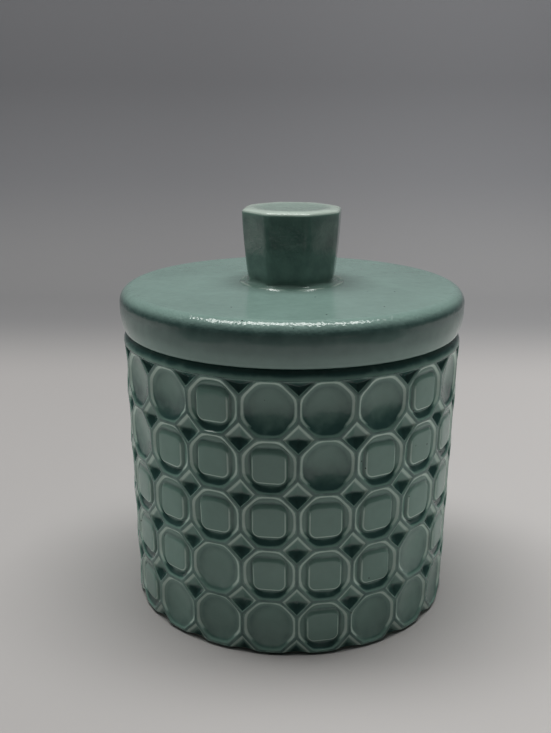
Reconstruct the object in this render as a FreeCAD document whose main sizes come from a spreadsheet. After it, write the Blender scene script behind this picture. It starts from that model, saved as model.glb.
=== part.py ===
import FreeCAD, Part
import Sketcher
import math
import os
import re

# Round lidded ceramic jar. Its outside carries five rows of octagons in relief, some dished and some with
# a raised square pad, and a sunken diamond between every four of them. The lid drops into the mouth with
# a ring, and an eight-sided knob stands on it.
# The jar stands on z = 0 with its axis on Z. The side that faces the viewer is -Y.

SIZES = {
    # jar
    "jar_height": 84.2,
    "rim_radius": 50.8,
    "base_inset": 2.0,
    "wall": 5.0,
    "floor_thickness": 5.0,
    "inner_corner_round": 6.0,
    "mouth_round": 0.9,
    "shoulder_round": 2.8,
    "foot_setback": 2.0,
    "foot_rise": 1.1,
    "foot_ring_width": 5.0,
    "foot_recess": 1.3,
    # relief on the jar
    "columns": 20,
    "relief_base": 1.13,
    "plain_band": 2.8,
    "relief_turn_deg": 2.318,
    "ridge_width": 1.9,
    "dish_depth": 1.75,
    "dish_edge_depth": 0.45,
    "groove_depth": 1.1,
    "groove_width": 2.05,
    "pad_corner_round": 2.4,
    "pad_sink": 0.3,
    "pit_depth": 1.8,
    # lid
    "lid_overhang": 0.7,
    "lid_edge_height": 12.6,
    "lid_crown": 0.7,
    "lid_top_round": 4.0,
    "lid_lean": 1.5,
    "lid_lean_height": 7.0,
    "lid_bottom_round": 0.6,
    "lid_recess": 6.2,
    "lid_recess_round": 2.5,
    "ring_depth": 6.0,
    "ring_clearance": 0.6,
    "ring_wall": 4.5,
    "ring_round": 1.2,
    # knob
    "knob_height": 22.2,
    "knob_top_radius": 15.5,
    "knob_shoulder_radius": 15.3,
    "knob_waist_radius": 14.7,
    "knob_foot_radius": 13.5,
    "knob_turn_deg": 16.0,
    "knob_edge_round": 4.0,
    "knob_rim_round": 1.8,
    "knob_rim_width": 2.6,
    "knob_dish_depth": 0.45,
    "slip_fillet": 1.3,
    "seat_margin": 0.8,
    # how far a cutter runs past the surface that it cuts
    "overrun": 1.5,
}

# One word for each column of octagons, top row first: D is a dish and P a pad in a groove. The four columns
# repeat round the jar.
COLUMN_PATTERN = ("DDPPP", "DPPPD", "PPPDD", "DPPPD")
ROWS = len(COLUMN_PATTERN[0])

# Flat bottom of a diamond pit as a share of its mouth, the block that keeps half of a pit as a share of
# half a side of its mouth, and heights of the knob's sections as shares of the knob
PIT_FLOOR_SHARE = 0.25
HALF_BLOCK_SHARE = 6
WAIST_SHARE = 0.45
SHOULDER_SHARE = 0.8

# Where the rounded rim of the knob has its sections, from its upright side to its level top
RIM_BENDS_DEG = (0, 30, 60, 90)

OCTAGON_SIDES = 8
FULL_TURN_DEG = 360.0
EIGHTH_TURN_DEG = FULL_TURN_DEG / OCTAGON_SIDES
QUARTER_TURN_DEG = FULL_TURN_DEG / 4
# An octagon's first side, drawn from its first corner, runs this far round from that corner's own direction
FIRST_SIDE_DEG = QUARTER_TURN_DEG + EIGHTH_TURN_DEG / 2
# Two numbers closer than this count as equal
MATCH = 1e-4

X_AXIS = FreeCAD.Vector(1, 0, 0)
Z_AXIS = FreeCAD.Vector(0, 0, 1)

doc = FreeCAD.newDocument("lidded_jar")
sheet = doc.addObject("Spreadsheet::Sheet", "Sizes")
for row, (alias, value) in enumerate(SIZES.items(), start=1):
    sheet.set(f"A{row}", alias)
    sheet.set(f"B{row}", str(value))
    sheet.setAlias(f"B{row}", alias)
doc.recompute()


def in_sheet(expression):
    """The same expression with the sheet's name before each alias, as other objects need it."""
    return re.sub(r"[a-z_]+", lambda word: f"Sizes.{word[0]}" if word[0] in SIZES else word[0], expression)


def size(expression):
    """The value of an expression of sheet aliases."""
    return float(sheet.evalExpression(in_sheet(expression)))


def bind(item, **expressions):
    """Binds properties of an object to expressions of sheet aliases."""
    for name, expression in expressions.items():
        item.setExpression(name.replace("__", "."), in_sheet(expression))


def origin_plane(body, role):
    return next(item for item in body.Origin.OriginFeatures if item.Role == role)


def new_body(name):
    body = doc.addObject("PartDesign::Body", name)
    body.Label = name
    return body


def new_sketch(body, name, role):
    sketch = body.newObject("Sketcher::SketchObject", name)
    sketch.AttachmentSupport = (origin_plane(body, role), [""])
    sketch.MapMode = "FlatFace"
    return sketch


def hold_corner(sketch, number, kind, axis, expression):
    """Holds the start of a line at a length from the origin, or on an axis where that length is zero."""
    if expression == "0":
        sketch.addConstraint(Sketcher.Constraint("PointOnObject", number, 1, axis))
        return
    index = sketch.addConstraint(Sketcher.Constraint(kind, -1, 1, number, 1, size(expression)))
    sketch.renameConstraint(index, f"{kind}_{number}")
    sketch.setExpression(f"Constraints.{kind}_{number}", in_sheet(expression))


def hold_value(sketch, kind, number, expression):
    """Holds a radius, or a line's direction, at a value of the sheet."""
    value = size(expression)
    if kind == "Angle":
        value = math.radians(value)
    index = sketch.addConstraint(Sketcher.Constraint(kind, number, value))
    sketch.renameConstraint(index, f"{kind}_{number}")
    sketch.setExpression(f"Constraints.{kind}_{number}", in_sheet(expression))


def closed_outline(sketch, corners):
    """Straight lines from corner to corner, each corner held by two lengths of the sheet."""
    points = [FreeCAD.Vector(size(across), size(up), 0) for across, up in corners]
    for number, point in enumerate(points):
        sketch.addGeometry(Part.LineSegment(point, points[(number + 1) % len(points)]), False)
    for number, (across, up) in enumerate(corners):
        following = (number + 1) % len(corners)
        sketch.addConstraint(Sketcher.Constraint("Coincident", number, 2, following, 1))
        hold_corner(sketch, number, "DistanceX", -2, across)
        hold_corner(sketch, number, "DistanceY", -1, up)


def turned(body, name, kind, corners):
    """Turns an outline in the XZ plane round the Z axis, as a solid or as a groove."""
    sketch = new_sketch(body, f"{name}_outline", "XZ_Plane")
    closed_outline(sketch, corners)
    feature = body.newObject(kind, name)
    feature.Profile = sketch
    feature.ReferenceAxis = (sketch, ["V_Axis"])
    feature.Angle = FULL_TURN_DEG
    doc.recompute()
    return feature


def circle_names(shape, radius, height):
    """Names of the round edges that have this radius and height on the Z axis."""
    names = []
    for number, edge in enumerate(shape.Edges, start=1):
        curve = edge.Curve
        if not isinstance(curve, Part.Circle):
            continue
        if abs(curve.Radius - radius) < MATCH and abs(curve.Center.z - height) < MATCH:
            names.append(f"Edge{number}")
    return names


def round_edges(body, name, radius, names):
    """Rounds the named edges of the body's last feature with a radius of the sheet."""
    base = body.Tip
    fillet = body.newObject("PartDesign::Fillet", name)
    fillet.Base = (base, names)
    bind(fillet, Radius=radius)
    doc.recompute()
    return fillet


def round_circles(body, name, radius, places):
    """Rounds round edges, each given by its radius and height."""
    names = []
    for across, up in places:
        names += circle_names(body.Tip.Shape, size(across), size(up))
    return round_edges(body, name, radius, names)


# Jar

BASE_RADIUS = "(rim_radius - base_inset)"
INNER_FLOOR_RADIUS = f"{BASE_RADIUS} - wall"
MOUTH_RADIUS = "rim_radius - wall"
FOOT_RADIUS = f"{BASE_RADIUS} - foot_setback"
FOOT_INNER_RADIUS = f"{FOOT_RADIUS} - foot_ring_width"


def make_vessel():
    """The vessel before its relief is cut: foot ring, floor, wall and rim."""
    body = new_body("vessel")
    turned(body, "vessel_turned", "PartDesign::Revolution", [
        ("0", "foot_recess"),
        (FOOT_INNER_RADIUS, "foot_recess"),
        (FOOT_INNER_RADIUS, "0"),
        (FOOT_RADIUS, "0"),
        (BASE_RADIUS, "foot_rise"),
        ("rim_radius", "jar_height"),
        (MOUTH_RADIUS, "jar_height"),
        (INNER_FLOOR_RADIUS, "floor_thickness"),
        ("0", "floor_thickness"),
    ])
    round_circles(body, "inner_corner", "inner_corner_round", [(INNER_FLOOR_RADIUS, "floor_thickness")])
    round_circles(body, "mouth_shoulder", "shoulder_round", [("rim_radius", "jar_height")])
    round_circles(body, "mouth_edge", "mouth_round", [(MOUTH_RADIUS, "jar_height")])
    return body


# Relief. Each cutter is made once, as it would lie on a flat patch of wall: X runs round the jar, Y up and Z
# out, with z = 0 on the wall. Copies of it are then set round the jar.

ROW_PITCH = f"(jar_height - relief_base - plain_band) / {ROWS}"
COLUMN_PITCH = "(rim_radius - base_inset / 2) * 2 * pi / columns"
HALF_PITCH = f"min({ROW_PITCH}; {COLUMN_PITCH}) / 2"
CELL_INRADIUS = f"({HALF_PITCH} - ridge_width / 2)"
PAD_SIDE = f"({CELL_INRADIUS} - groove_width) * 2"
PIT_HALF_SIDE = f"({HALF_PITCH} * tan(22.5 deg) - ridge_width / 2)"


def octagon_cutter(name, depth):
    """An octagonal pocket with flat sides upright, from a depth under the wall to the overrun above it."""
    prism = doc.addObject("Part::Prism", name)
    prism.Polygon = OCTAGON_SIDES
    prism.Placement.Rotation = FreeCAD.Rotation(Z_AXIS, EIGHTH_TURN_DEG / 2)
    bind(
        prism,
        Circumradius=f"{CELL_INRADIUS} / cos(22.5 deg)",
        Height=f"{depth} + overrun",
        Placement__Base__z=f"-{depth}",
    )
    return prism


def dish_cutter():
    """An octagonal pocket whose floor is a hollow cap of a sphere, deepest at the middle."""
    prism = octagon_cutter("dish_octagon", "dish_depth")
    cap = "(dish_depth - dish_edge_depth)"
    ball_radius = f"({CELL_INRADIUS} * {CELL_INRADIUS} / {cap} + {cap}) / 2"
    ball = doc.addObject("Part::Sphere", "dish_ball")
    bind(ball, Radius=ball_radius, Placement__Base__z=f"{ball_radius} - dish_depth")
    dish = doc.addObject("Part::Common", "dish_cutter")
    dish.Base = prism
    dish.Tool = ball
    return dish


def groove_cutter():
    """An octagonal pocket that leaves a square pad with round corners standing in its middle."""
    pocket = octagon_cutter("groove_octagon", "groove_depth")
    block = doc.addObject("Part::Box", "pad_block")
    bind(
        block,
        Length=PAD_SIDE,
        Width=PAD_SIDE,
        Height="groove_depth - pad_sink + overrun",
        Placement__Base__x=f"-{PAD_SIDE} / 2",
        Placement__Base__y=f"-{PAD_SIDE} / 2",
        Placement__Base__z="-groove_depth - overrun",
    )
    doc.recompute()
    corner_round = size("pad_corner_round")
    pad = doc.addObject("Part::Fillet", "pad")
    pad.Base = block
    pad.Edges = [
        (number, corner_round, corner_round)
        for number, edge in enumerate(block.Shape.Edges, start=1)
        if abs(edge.tangentAt(edge.FirstParameter).z) > 1 - MATCH
    ]
    groove = doc.addObject("Part::Cut", "groove_cutter")
    groove.Base = pocket
    groove.Tool = pad
    return groove


def pit_cutter():
    """A four-sided pit on its corner, narrowing to a small flat bottom."""
    mouth = f"{PIT_HALF_SIDE} * (1 + overrun / pit_depth * {1 - PIT_FLOOR_SHARE})"
    bottom = f"{PIT_HALF_SIDE} * {PIT_FLOOR_SHARE}"
    pit = doc.addObject("Part::Wedge", "pit_cutter")
    pit.Ymin = 0
    bind(pit, Ymax="pit_depth + overrun", Placement__Base__z="overrun")
    bind(pit, Xmin=f"-{mouth}", Xmax=mouth, Zmin=f"-{mouth}", Zmax=mouth)
    bind(pit, X2min=f"-{bottom}", X2max=bottom, Z2min=f"-{bottom}", Z2max=bottom)
    upright = FreeCAD.Rotation(Z_AXIS, EIGHTH_TURN_DEG)
    pit.Placement.Rotation = upright.multiply(FreeCAD.Rotation(X_AXIS, -QUARTER_TURN_DEG))
    return pit


def half_pit_cutter(pit):
    """The lower half of a pit, which ends under the plain band below the mouth."""
    lower = doc.addObject("Part::Box", "lower_side")
    reach = f"{PIT_HALF_SIDE} * {HALF_BLOCK_SHARE}"
    bind(
        lower,
        Length=reach,
        Width=reach,
        Height="(pit_depth + overrun) * 2",
        Placement__Base__x=f"-{reach} / 2",
        Placement__Base__y=f"-{reach} - ridge_width / 2",
        Placement__Base__z="-pit_depth - overrun / 2",
    )
    half = doc.addObject("Part::Common", "half_pit_cutter")
    half.Base = pit
    half.Tool = lower
    return half


def wall_place(columns_round, rows_up):
    """Where a cutter lies on the wall, in columns from the first pit and in rows from the lowest line."""
    height = size("relief_base") + rows_up * size(ROW_PITCH)
    slope = size("base_inset") / (size("jar_height") - size("foot_rise"))
    radius = size(BASE_RADIUS) + slope * (height - size("foot_rise"))
    around = math.radians(size("relief_turn_deg") - QUARTER_TURN_DEG)
    around += columns_round * math.radians(FULL_TURN_DEG) / size("columns")
    lean = math.atan(slope)
    level = FreeCAD.Vector(math.cos(around), math.sin(around), 0)
    outward = level * math.cos(lean) - Z_AXIS * math.sin(lean)
    upward = level * math.sin(lean) + Z_AXIS * math.cos(lean)
    turn = FreeCAD.Rotation(upward.cross(outward), upward, outward, "ZYX")
    return FreeCAD.Placement(level * radius + Z_AXIS * height, turn)


def copy_at(cutter, columns_round, rows_up):
    shape = cutter.Shape.copy()
    shape.Placement = wall_place(columns_round, rows_up).multiply(cutter.Shape.Placement)
    return shape


def make_relief():
    """All cutters of the jar's relief in their places: octagons, the pits between them and the half pits."""
    dish = dish_cutter()
    groove = groove_cutter()
    pit = pit_cutter()
    half_pit = half_pit_cutter(pit)
    doc.recompute()
    cuts = []
    for column in range(int(size("columns"))):
        for row, mark in enumerate(COLUMN_PATTERN[column % len(COLUMN_PATTERN)]):
            cuts.append(copy_at(dish if mark == "D" else groove, column + 0.5, ROWS - row - 0.5))
            cuts.append(copy_at(pit, column, row))
        cuts.append(copy_at(half_pit, column, ROWS))
    relief = doc.addObject("Part::Feature", "relief")
    relief.Shape = Part.makeCompound(cuts)
    return relief


def make_jar_body():
    jar = doc.addObject("Part::Cut", "jar_body")
    jar.Label = "jar_body"
    jar.Base = make_vessel()
    jar.Tool = make_relief()
    return jar


# Lid

LID_RADIUS = "rim_radius + lid_overhang"
LID_BOTTOM_RADIUS = f"{LID_RADIUS} - lid_lean"
RING_OUTER_RADIUS = f"{MOUTH_RADIUS} - ring_clearance"
RING_INNER_RADIUS = f"{RING_OUTER_RADIUS} - ring_wall"
LID_EDGE_TOP = "jar_height + lid_edge_height"
LID_TOP = f"{LID_EDGE_TOP} + lid_crown"
KNOB_SEAT_RADIUS = "knob_foot_radius + slip_fillet + seat_margin"


def make_lid():
    """A thick round cover, hollow underneath, with a ring that drops into the mouth. Its side leans in below."""
    body = new_body("lid")
    turned(body, "lid_turned", "PartDesign::Revolution", [
        ("0", "jar_height + lid_recess"),
        (RING_INNER_RADIUS, "jar_height + lid_recess"),
        (RING_INNER_RADIUS, "jar_height - ring_depth"),
        (RING_OUTER_RADIUS, "jar_height - ring_depth"),
        (RING_OUTER_RADIUS, "jar_height"),
        (LID_BOTTOM_RADIUS, "jar_height"),
        (LID_RADIUS, "jar_height + lid_lean_height"),
        (LID_RADIUS, LID_EDGE_TOP),
        (KNOB_SEAT_RADIUS, LID_TOP),
        ("0", LID_TOP),
    ])
    round_circles(body, "top_edge", "lid_top_round", [(LID_RADIUS, LID_EDGE_TOP)])
    round_circles(body, "bottom_edge", "lid_bottom_round", [(LID_BOTTOM_RADIUS, "jar_height")])
    round_circles(body, "recess_corner", "lid_recess_round", [(RING_INNER_RADIUS, "jar_height + lid_recess")])
    round_circles(body, "ring_edges", "ring_round", [
        (RING_INNER_RADIUS, "jar_height - ring_depth"),
        (RING_OUTER_RADIUS, "jar_height - ring_depth"),
    ])
    return body


# Knob

def octagon_section(body, name, radius, height):
    """A regular octagon with round corners, drawn round the Z axis at a height above the lid's top.

    Each corner is an arc whose centre lies on one hidden circle, and eight equal sides touch the arcs.
    """
    sketch = new_sketch(body, name, "XY_Plane")
    sketch.setExpression("AttachmentOffset.Base.z", in_sheet(f"{LID_TOP} + {height}"))
    centre_reach = f"{radius} - knob_edge_round / cos(22.5 deg)"
    corner_round = size("knob_edge_round")
    half_bend = math.radians(EIGHTH_TURN_DEG / 2)
    circle = Part.Circle(FreeCAD.Vector(), Z_AXIS, size(centre_reach))
    arcs = []
    for corner in range(OCTAGON_SIDES):
        around = math.radians(size("knob_turn_deg") + corner * EIGHTH_TURN_DEG)
        bend = Part.Circle(circle.value(around), Z_AXIS, corner_round)
        arcs.append(Part.ArcOfCircle(bend, around - half_bend, around + half_bend))
    for arc in arcs:
        sketch.addGeometry(arc, False)
    for corner, arc in enumerate(arcs):
        following = arcs[(corner + 1) % OCTAGON_SIDES]
        sketch.addGeometry(Part.LineSegment(arc.EndPoint, following.StartPoint), False)
    hidden = sketch.addGeometry(circle, True)
    sketch.addConstraint(Sketcher.Constraint("Coincident", hidden, 3, -1, 1))
    for corner in range(OCTAGON_SIDES):
        side = OCTAGON_SIDES + corner
        sketch.addConstraint(Sketcher.Constraint("Tangent", corner, 2, side, 1))
        sketch.addConstraint(Sketcher.Constraint("Tangent", side, 2, (corner + 1) % OCTAGON_SIDES, 1))
        sketch.addConstraint(Sketcher.Constraint("PointOnObject", corner, 3, hidden))
        if corner:
            sketch.addConstraint(Sketcher.Constraint("Equal", 0, corner))
            sketch.addConstraint(Sketcher.Constraint("Equal", OCTAGON_SIDES, side))
    hold_value(sketch, "Radius", hidden, centre_reach)
    hold_value(sketch, "Radius", 0, "knob_edge_round")
    hold_value(sketch, "Angle", OCTAGON_SIDES, f"(knob_turn_deg + {FIRST_SIDE_DEG}) * 1 deg")
    return sketch


def lofted(body, name, sections):
    """Joins octagons, each given by its radius and height, with smooth sides."""
    sketches = [
        octagon_section(body, f"{name}_section_{number}", radius, height)
        for number, (radius, height) in enumerate(sections)
    ]
    loft = body.newObject("PartDesign::AdditiveLoft", name)
    loft.Profile = sketches[0]
    loft.Sections = sketches[1:]
    doc.recompute()
    return loft


def rim_section(bend_deg):
    """Radius and height of the rounded rim's outline, from upright at no bend to level at a quarter turn."""
    inset = f"knob_rim_round * (1 - cos({bend_deg} deg))"
    drop = f"knob_rim_round * (1 - sin({bend_deg} deg))"
    return f"knob_top_radius - {inset}", f"knob_height - {drop}"


def make_knob():
    """An eight-sided grip that swells upwards, with soft corners, a hollow top and a slip fillet below."""
    body = new_body("knob")
    rim = [rim_section(bend_deg) for bend_deg in RIM_BENDS_DEG]
    lofted(body, "knob_sides", [
        ("knob_foot_radius", "0"),
        ("knob_waist_radius", f"{WAIST_SHARE} * knob_height"),
        ("knob_shoulder_radius", f"{SHOULDER_SHARE} * knob_height"),
        rim[0],
    ])
    lofted(body, "knob_rim", rim)
    knob_top = f"{LID_TOP} + knob_height"
    turned(body, "top_hollow", "PartDesign::Groove", [
        ("0", f"{knob_top} - knob_dish_depth"),
        ("knob_top_radius * cos(22.5 deg) - knob_rim_width", knob_top),
        ("0", f"{knob_top} + overrun"),
    ])
    turned(body, "slip_ring", "PartDesign::Revolution", [
        ("0", LID_TOP),
        ("knob_foot_radius + slip_fillet", LID_TOP),
        ("knob_foot_radius - slip_fillet / 2", f"{LID_TOP} + slip_fillet"),
        ("0", f"{LID_TOP} + slip_fillet"),
    ])
    return body


def check_and_write(pieces):
    """Stops on a failed object or shape, then writes each piece under its label."""
    doc.recompute()
    for item in doc.Objects:
        if "Invalid" in item.State or "Error" in item.State:
            raise RuntimeError(f"{item.Label} failed: {item.State}")
    for piece in pieces:
        if piece.Shape.isNull() or not piece.Shape.isValid():
            raise RuntimeError(f"{piece.Label} has no valid shape")
    os.makedirs("parts", exist_ok=True)
    for piece in pieces:
        piece.Shape.exportStep(f"parts/{piece.Label}.step")
        box = piece.Shape.BoundBox
        print(f"{piece.Label}: {len(piece.Shape.Faces)} faces, z {box.ZMin:.2f} to {box.ZMax:.2f} mm")


check_and_write([make_jar_body(), make_lid(), make_knob()])
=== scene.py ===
import math

import bmesh
import bpy
import numpy as np
from mathutils import Matrix, Vector


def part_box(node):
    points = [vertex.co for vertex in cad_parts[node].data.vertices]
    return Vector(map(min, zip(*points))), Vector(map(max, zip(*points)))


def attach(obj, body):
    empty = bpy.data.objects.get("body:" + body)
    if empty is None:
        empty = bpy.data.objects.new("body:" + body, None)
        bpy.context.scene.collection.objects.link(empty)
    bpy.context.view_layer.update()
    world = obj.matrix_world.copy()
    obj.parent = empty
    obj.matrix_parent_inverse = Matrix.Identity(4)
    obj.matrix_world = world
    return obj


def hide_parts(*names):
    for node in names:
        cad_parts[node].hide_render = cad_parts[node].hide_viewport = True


# A round lidded jar of celadon stoneware: five rows of octagons in relief round its wall, a thick lid and
# an eight-sided knob. Lengths are in millimetres until a mesh is made, and the viewer is on the -Y side.

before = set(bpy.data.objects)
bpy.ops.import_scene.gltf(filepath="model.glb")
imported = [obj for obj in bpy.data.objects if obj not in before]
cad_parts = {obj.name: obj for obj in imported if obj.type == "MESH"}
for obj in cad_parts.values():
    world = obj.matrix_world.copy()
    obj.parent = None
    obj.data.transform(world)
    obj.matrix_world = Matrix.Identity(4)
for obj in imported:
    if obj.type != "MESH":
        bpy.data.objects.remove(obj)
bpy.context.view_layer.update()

MM = 0.001
FULL_TURN = 2 * math.pi
# Points nearer to each other than this are one point
JOIN = 0.004
# What each point of a piece tells the glaze: how it lies, from thin and pale at -1 to pooled and dark at 1,
# which also carries painted shade and reflection, whether the clay is bare, and how much more its skin
# ripples than elsewhere
POINT_VALUES = ("glaze_and_painted_shade", "bare_clay", "skin_ripple")
rng = np.random.default_rng(11)


def box_mm(node):
    """Lowest and highest corner of a CAD node at rest, in millimetres."""
    low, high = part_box(node)
    return np.array(low) / MM, np.array(high) / MM


jar_low, jar_high = box_mm("jar_body")
lid_low, lid_high = box_mm("lid")
knob_low, knob_high = box_mm("knob")

JAR_TOP = jar_high[2]
RIM_RADIUS = (jar_high[0] - jar_low[0]) / 2
LID_TOP = lid_high[2]
LID_RADIUS = (lid_high[0] - lid_low[0]) / 2
KNOB_TOP = knob_high[2]


# Meshes

def strip_faces(rings, around, closed=True):
    """Quads between each ring of points and the next, facing out where the next lies inside or above."""
    start = np.arange(around if closed else around - 1)
    ahead = (start + 1) % around
    ring = np.arange(rings - 1)[:, None] * around
    corners = [ring + start, ring + ahead, ring + ahead + around, ring + start + around]
    return np.stack(corners, -1).reshape(-1, 4)


def fan_faces(first, around, tip, closed=True):
    """Triangles from a ring of points to one point inside it."""
    start = np.arange(around if closed else around - 1)
    ahead = (start + 1) % around
    return np.stack([first + start, first + ahead, np.full_like(start, tip)], -1)


def ring_point(radius, angle, height):
    """Points at a radius, an angle from the viewer's side and a height: x = r sin a, y = -r cos a."""
    radius, angle, height = np.broadcast_arrays(radius, angle, height)
    return np.stack([radius * np.sin(angle), -radius * np.cos(angle), height], -1)


def smooth_step(start, end, value):
    """Zero at start and before it, one at end and past it, and 3t^2 - 2t^3 between. End may be the lower."""
    share = np.clip((value - start) / (end - start), 0, 1)
    return share * share * (3 - 2 * share)


def make_piece(name, parts, material, node, body):
    """One closed mesh from parts of points, faces and point values, joined where they meet.

    Its normals are weighted by face area, so broad faces stay flat up to their narrow bevels.
    """
    points, faces, values = [], [], {}
    offset = 0
    for part_points, part_faces, part_values in parts:
        points.append(part_points.reshape(-1, 3))
        faces += [face for array in part_faces for face in (array + offset).tolist()]
        for key in POINT_VALUES:
            given = np.broadcast_to(part_values.get(key, 0.0), part_points.shape[:-1]).reshape(-1)
            values.setdefault(key, []).append(given)
        offset += len(points[-1])
    mesh = bpy.data.meshes.new(name)
    mesh.from_pydata((np.concatenate(points) * MM).tolist(), [], faces)
    for key, arrays in values.items():
        layer = mesh.attributes.new(key, "FLOAT", "POINT")
        layer.data.foreach_set("value", np.concatenate(arrays).astype(np.float32))
    work = bmesh.new()
    work.from_mesh(mesh)
    bmesh.ops.remove_doubles(work, verts=work.verts, dist=JOIN * MM)
    work.to_mesh(mesh)
    work.free()
    mesh.shade_smooth()
    mesh.materials.append(material)
    piece = bpy.data.objects.new(name, mesh)
    bpy.context.scene.collection.objects.link(piece)
    weighted = piece.modifiers.new("area_normals", "WEIGHTED_NORMAL")
    weighted.mode = "FACE_AREA"
    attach(piece, body)
    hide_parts(node)
    return piece


def rounded_outline(corners, radii, steps):
    """Straight lines between corners, each corner rounded by an arc that touches both of its lines.

    The arc starts r tan(turn / 2) before the corner, and its points are
    start + r (sin(s) d + (1 - cos(s)) n), with d the way in, n the side that it turns to, and s from zero to
    the turn.
    """
    corners, radii = np.array(corners, float), np.array(radii, float)
    ways = np.diff(corners, axis=0)
    ways /= np.linalg.norm(ways, axis=1, keepdims=True)
    way_in, way_out = ways[:-1], ways[1:]
    cross = way_in[:, 0] * way_out[:, 1] - way_in[:, 1] * way_out[:, 0]
    turn = np.arctan2(np.abs(cross), (way_in * way_out).sum(1))
    side = np.sign(cross)[:, None] * np.stack([-way_in[:, 1], way_in[:, 0]], -1)
    start = corners[1:-1] - way_in * (radii * np.tan(turn / 2))[:, None]
    bend = turn[:, None] * np.linspace(0, 1, steps + 1)
    reach = radii[:, None]
    arcs = start[:, None] + (reach * np.sin(bend))[..., None] * way_in[:, None]
    arcs = arcs + (reach * (1 - np.cos(bend)))[..., None] * side[:, None]
    line = np.concatenate([corners[:1], arcs.reshape(-1, 2), corners[-1:]])
    keep = np.append(True, np.linalg.norm(np.diff(line, axis=0), axis=1) > JOIN)
    return line[keep]


def divided(line, longest):
    """The same line with points added, so that no straight run is longer than a given length."""
    runs = np.linalg.norm(np.diff(line, axis=0), axis=1)
    cuts = np.maximum(1, np.ceil(runs / longest)).astype(int)
    index = np.repeat(np.arange(len(runs)), cuts)
    share = np.concatenate([np.arange(count) / count for count in cuts])[:, None]
    inner = line[index] * (1 - share) + line[index + 1] * share
    return np.concatenate([inner, line[-1:]])


# Jar. Its wall is a slightly wider cone towards the rim, covered with cells: octagons, and a diamond pit
# between every four. A cell is drawn once on a flat patch in x and y, with its depth under the wall, and
# copied round. The lines between cells run along the middle of the ridges.

COLUMNS, ROWS = 20, 5
# Columns of cells, top row first: D is a dish and P a pad in a groove. Four columns repeat round the jar.
COLUMN_PATTERN = ("DDPPP", "DPPPD", "PPPDD", "DPPPD")
# The upper rows are darker low in their cells and pits: how many they are, and the lines of pits there and
# lower down, counted from the base line
HIGH_ROWS, HIGH_PIT_LINES, LOW_PIT_LINES = 2, (3, 4), (1, 2)
# Height of the relief's base line, width of the plain band above the relief, and the relief's turn
RELIEF_BASE, PLAIN_BAND = 1.13, 2.8
RELIEF_TURN = math.radians(2.318)
# How much narrower the wall is at its base than at the rim
BASE_INSET = 2.0
WALL, FLOOR, FLOOR_ROUND = 5.0, 5.0, 6.0
MOUTH_ROUND, MOUTH_INNER_ROUND = 2.8, 0.9
FOOT_RISE, FOOT_SETBACK, FOOT_WIDTH, FOOT_RECESS = 1.1, 2.0, 5.0, 1.3
FOOT_ROUND, RECESS_ROUND = 0.5, 0.8
# Faces along a rounding of the mouth and of the foot, and the longest face along a straight run
MOUTH_STEPS, FOOT_STEPS, LONGEST_FACE = 8, 4, 12

ROW_PITCH = (JAR_TOP - RELIEF_BASE - PLAIN_BAND) / ROWS
COLUMN_TURN = FULL_TURN / COLUMNS
COLUMN_PITCH = (RIM_RADIUS - BASE_INSET / 2) * COLUMN_TURN

# A corner cut of this share of a cell makes its octagon regular
CORNER_SHARE = 1 / (2 + math.sqrt(2))
CUT_X, CUT_Y = CORNER_SHARE * COLUMN_PITCH, CORNER_SHARE * ROW_PITCH
HALF_X, HALF_Y = COLUMN_PITCH / 2, ROW_PITCH / 2
OCTAGON = np.array([
    (HALF_X, CUT_Y - HALF_Y), (HALF_X, HALF_Y - CUT_Y),
    (HALF_X - CUT_X, HALF_Y), (CUT_X - HALF_X, HALF_Y),
    (-HALF_X, HALF_Y - CUT_Y), (-HALF_X, CUT_Y - HALF_Y),
    (CUT_X - HALF_X, -HALF_Y), (HALF_X - CUT_X, -HALF_Y),
])
DIAMOND = np.array([(CUT_X, 0), (0, CUT_Y), (-CUT_X, 0), (0, -CUT_Y)])
LOWER_HALF_DIAMOND = DIAMOND[[0, 2, 3]]

# How many faces lie along one side of an octagon
SIDE_STEPS = 5

# Outer rings of every cell, from the middle of the ridge to the foot of its bevel: inset, depth and how the
# glaze lies
RIDGE_RINGS = np.array([
    (0.00, 0.00, 0.60),
    (0.32, 0.02, 0.50),
    (0.48, 0.08, -0.3),
    (0.60, 0.19, -1.0),
    (0.78, 0.38, -1.1),
    (0.98, 0.58, -1.0),
    (1.28, 0.70, -0.5),
])
# Glaze runs off a bevel by these shares, each between two places: -1 is the cell's lowest point, 1 its top
RUN_OFF = ((0.9, -0.88, -0.38), (0.1, 0.2, 0.9))

# Slow waves of the hand-finished ridges, sideways and upright: size, waves round the jar, turn per
# millimetre of height, and phase. They fade out over this height at the relief's base and top lines.
SIDE_WAVES = ((0.07, 9, 0.21, 0.0), (0.05, 23, -0.33, 1.3))
LIFT_WAVES = ((0.06, 11, -0.27, 0.6), (0.05, 19, 0.19, 2.1))
WAVER_FADE = 3
# How far a pocket may sit off the middle of its cell, and how far too deep, shallow or askew it may be.
# Points shift and tilt fully from the second of these depths on.
SHIFT, UNEVEN = 0.13, 0.05
SHIFT_DEPTHS, TILT_DEPTHS = (0.0, 0.15), (0.3, 0.5)


def wall_radius(height):
    """Radius of the wall: rim radius - inset (top - height) / (top - foot's rise)."""
    return RIM_RADIUS - BASE_INSET * (JAR_TOP - height) / (JAR_TOP - FOOT_RISE)


def wall_angle(across):
    """Angle of a length round the wall: the relief's turn + length / pitch x a column's turn."""
    return RELIEF_TURN + across / COLUMN_PITCH * COLUMN_TURN


def waver(across, up):
    """Sideways and upright shifts of the ridges, sums of size sin(count x turn + rise x height + phase)."""
    turn = across / COLUMN_PITCH * COLUMN_TURN
    return [sum(size * np.sin(count * turn + rise * up + phase) for size, count, rise, phase in waves)
            for waves in (SIDE_WAVES, LIFT_WAVES)]


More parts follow.
